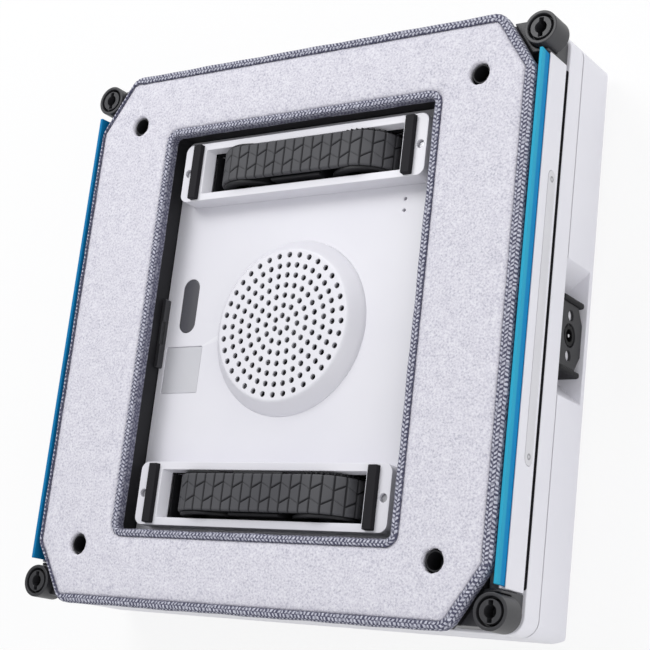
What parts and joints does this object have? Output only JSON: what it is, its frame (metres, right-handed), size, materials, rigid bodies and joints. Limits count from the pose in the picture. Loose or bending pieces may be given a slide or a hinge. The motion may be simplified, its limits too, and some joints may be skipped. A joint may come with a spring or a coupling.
{
  "type": "window cleaning robot",
  "caption": "Square window cleaning robot: suction dome in a padded ring, belt tracks, sprung squeegees along two sides and a roller at each corner.",
  "frame": {"origin": "centre of the box round the part, on the flat face of the outer cover that it rests on", "axes": "+Z away from the outer cover, towards the glass; +X across the two squeegees, towards the side with the power recess; +Y along the squeegees"},
  "size_m": [0.2752, 0.278, 0.075],
  "materials": {
    "white_shell": "satin",
    "white_inner": "satin",
    "black_plastic": "fine moulded texture",
    "pad_fabric": "brushed short pile",
    "tape_fabric": "woven",
    "hook_tape": "hooked",
    "blue_rubber": "smooth",
    "grey_trim": "satin",
    "black_rubber": "matt",
    "belt_rubber": "matt, embossed tread",
    "steel": "bright",
    "brass": "turned",
    "motor_can": "drawn",
    "inner_plastic": "plain",
    "fan_plastic": "plain",
    "dark_window": "polished",
    "light_guide": "frosted",
    "board_green": "soldered board",
    "battery_wrap": "shrink wrap"
  },
  "bodies": {
    "root": {"outer_cover": "white_shell", "lower_housing": "white_shell", "base_plate": "white_inner", "pad_carrier": "black_plastic", "hook_strips": "hook_tape", "cleaning_pad": "pad_fabric", "pad_outer_tape": "tape_fabric", "pad_inner_tape": "tape_fabric", "corner_blocks": "black_plastic", "roller_hubs": "black_plastic", "holder_springs_left": "steel", "holder_springs_right": "steel", "holder_guide_screws": "steel", "track_frame_top": "white_inner", "track_frame_bottom": "white_inner", "wiper_strips": "black_rubber", "track_belt_top": "belt_rubber", "track_belt_bottom": "belt_rubber", "pulley_axles": "steel", "track_chassis_top": "inner_plastic", "track_chassis_bottom": "inner_plastic", "drive_motor_top": "motor_can", "drive_motor_bottom": "motor_can", "fan_grille": "white_inner", "fan_motor": "motor_can", "fan_duct": "inner_plastic", "edge_sensor_ports": "black_plastic", "edge_sensor_lenses": "dark_window", "sensor_window": "dark_window", "side_latch": "black_plastic", "inlet_socket": "black_plastic", "inlet_pin": "steel", "anchor_plate": "black_plastic", "anchor_bracket": "black_plastic", "status_ring": "light_guide", "circuit_boards": "board_green", "battery_pack": "battery_wrap", "frame_screws": "steel", "cover_screws": "steel"},
    "roller_top_left": {"corner_roller_top_left": "black_plastic"},
    "roller_top_right": {"corner_roller_top_right": "black_plastic"},
    "roller_bottom_left": {"corner_roller_bottom_left": "black_plastic"},
    "roller_bottom_right": {"corner_roller_bottom_right": "black_plastic"},
    "squeegee_left": {"squeegee_holder_left": "white_shell", "squeegee_blade_left": "blue_rubber", "holder_trim_left": "grey_trim"},
    "squeegee_right": {"squeegee_holder_right": "white_shell", "squeegee_blade_right": "blue_rubber", "holder_trim_right": "grey_trim"},
    "drive_pulley_top": {"drive_pulley_top": "inner_plastic"},
    "idler_pulley_top": {"idler_pulley_top": "inner_plastic"},
    "pinion_top": {"motor_pinion_top": "brass"},
    "drive_pulley_bottom": {"drive_pulley_bottom": "inner_plastic"},
    "idler_pulley_bottom": {"idler_pulley_bottom": "inner_plastic"},
    "pinion_bottom": {"motor_pinion_bottom": "brass"},
    "impeller": {"impeller": "fan_plastic", "fan_shaft": "steel"},
    "start_button": {"start_button": "white_inner"}
  },
  "joints": [
    {"name": "roller_spin_top_left", "type": "hinge", "parent": "root", "child": "roller_top_left", "pos_m": [-0.1296, 0.1296, 0.066], "axis": [0, 0, 1], "continuous": true},
    {"name": "roller_spin_top_right", "type": "hinge", "parent": "root", "child": "roller_top_right", "pos_m": [0.1296, 0.1296, 0.066], "axis": [0, 0, 1], "continuous": true},
    {"name": "roller_spin_bottom_left", "type": "hinge", "parent": "root", "child": "roller_bottom_left", "pos_m": [-0.1296, -0.1296, 0.066], "axis": [0, 0, 1], "continuous": true},
    {"name": "roller_spin_bottom_right", "type": "hinge", "parent": "root", "child": "roller_bottom_right", "pos_m": [0.1296, -0.1296, 0.066], "axis": [0, 0, 1], "continuous": true},
    {"name": "squeegee_float_left", "type": "slide", "parent": "root", "child": "squeegee_left", "axis": [0, 0, 1], "range_m": [-0.002, 0], "stiffness_N_per_m": 600, "springref_m": 0.0015, "deforming": ["holder_springs_left"]},
    {"name": "squeegee_float_right", "type": "slide", "parent": "root", "child": "squeegee_right", "axis": [0, 0, 1], "range_m": [-0.002, 0], "stiffness_N_per_m": 600, "springref_m": 0.0015, "deforming": ["holder_springs_right"]},
    {"name": "track_drive_top", "type": "hinge", "parent": "root", "child": "drive_pulley_top", "pos_m": [0.0335, 0.0829, 0.0555], "axis": [0, 1, 0], "continuous": true},
    {"name": "track_idler_top", "type": "hinge", "parent": "root", "child": "idler_pulley_top", "pos_m": [-0.0335, 0.0829, 0.0555], "axis": [0, 1, 0], "continuous": true},
    {"name": "motor_spin_top", "type": "hinge", "parent": "root", "child": "pinion_top", "pos_m": [0.0335, 0.0829, 0.0339], "axis": [0, 1, 0], "continuous": true},
    {"name": "track_drive_bottom", "type": "hinge", "parent": "root", "child": "drive_pulley_bottom", "pos_m": [0.0335, -0.0829, 0.0555], "axis": [0, 1, 0], "continuous": true},
    {"name": "track_idler_bottom", "type": "hinge", "parent": "root", "child": "idler_pulley_bottom", "pos_m": [-0.0335, -0.0829, 0.0555], "axis": [0, 1, 0], "continuous": true},
    {"name": "motor_spin_bottom", "type": "hinge", "parent": "root", "child": "pinion_bottom", "pos_m": [0.0335, -0.0829, 0.0339], "axis": [0, 1, 0], "continuous": true},
    {"name": "impeller_spin", "type": "hinge", "parent": "root", "child": "impeller", "pos_m": [-0.001, 0, 0.045], "axis": [0, 0, 1], "continuous": true},
    {"name": "button_press", "type": "slide", "parent": "root", "child": "start_button", "axis": [0, 0, 1], "range_m": [0, 0.0008], "stiffness_N_per_m": 500, "springref_m": -0.001}
  ],
  "couplings": [
    {"joint": "track_idler_top", "follows": "track_drive_top", "ratio": 1},
    {"joint": "motor_spin_top", "follows": "track_drive_top", "ratio": -3},
    {"joint": "track_idler_bottom", "follows": "track_drive_bottom", "ratio": 1},
    {"joint": "motor_spin_bottom", "follows": "track_drive_bottom", "ratio": -3}
  ]
}
